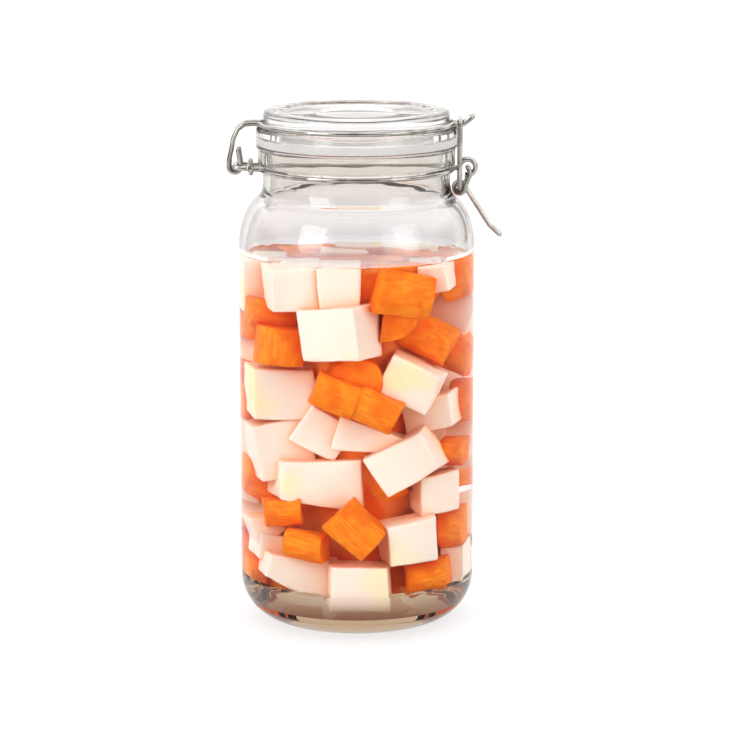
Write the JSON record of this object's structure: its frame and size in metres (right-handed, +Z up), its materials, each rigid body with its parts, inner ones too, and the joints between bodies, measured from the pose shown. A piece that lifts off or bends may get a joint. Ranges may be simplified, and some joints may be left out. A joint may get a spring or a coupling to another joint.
{
  "type": "clip top jar",
  "caption": "Tall clear glass clip top preserving jar, shut, packed with cubed white radish and carrot; hinged glass lid, seal, wire lever and link.",
  "frame": {"origin": "centre of the jar's flat base, on the jar's axis", "axes": "+Z up along the jar's axis, +X towards the latch, -X towards the lid's hinge, Y along the hinge and latch pivots"},
  "size_m": [0.1315, 0.113, 0.2476],
  "materials": {
    "jar_glass": "clear, smooth",
    "lid_glass": "clear, smooth, pressed",
    "seal": "pale, translucent",
    "wire": "bright drawn steel",
    "vegetables": "wet, cut faces"
  },
  "bodies": {
    "jar": {"jar": "jar_glass", "pickles": "vegetables", "neck_wire": "wire"},
    "lid": {"lid": "lid_glass", "seal": "seal", "lid_wire": "wire"},
    "lever": {"lever": "wire"},
    "link": {"link": "wire"}
  },
  "joints": [
    {"name": "lid_hinge", "type": "hinge", "parent": "jar", "child": "lid", "pos_m": [-0.05805, 0, 0.2208], "axis": [0, -1, 0], "range_deg": [0, 180]},
    {"name": "latch_lever", "type": "hinge", "parent": "jar", "child": "lever", "pos_m": [0.053, 0, 0.2201], "axis": [0, -1, 0], "range_deg": [0, 120]},
    {"name": "latch_link", "type": "hinge", "parent": "lever", "child": "link", "pos_m": [0.0491, 0, 0.2103], "axis": [0, -1, 0], "range_deg": [-240, 0]}
  ],
  "couplings": [
    {"joint": "latch_link", "follows": "latch_lever", "ratio": -2}
  ]
}
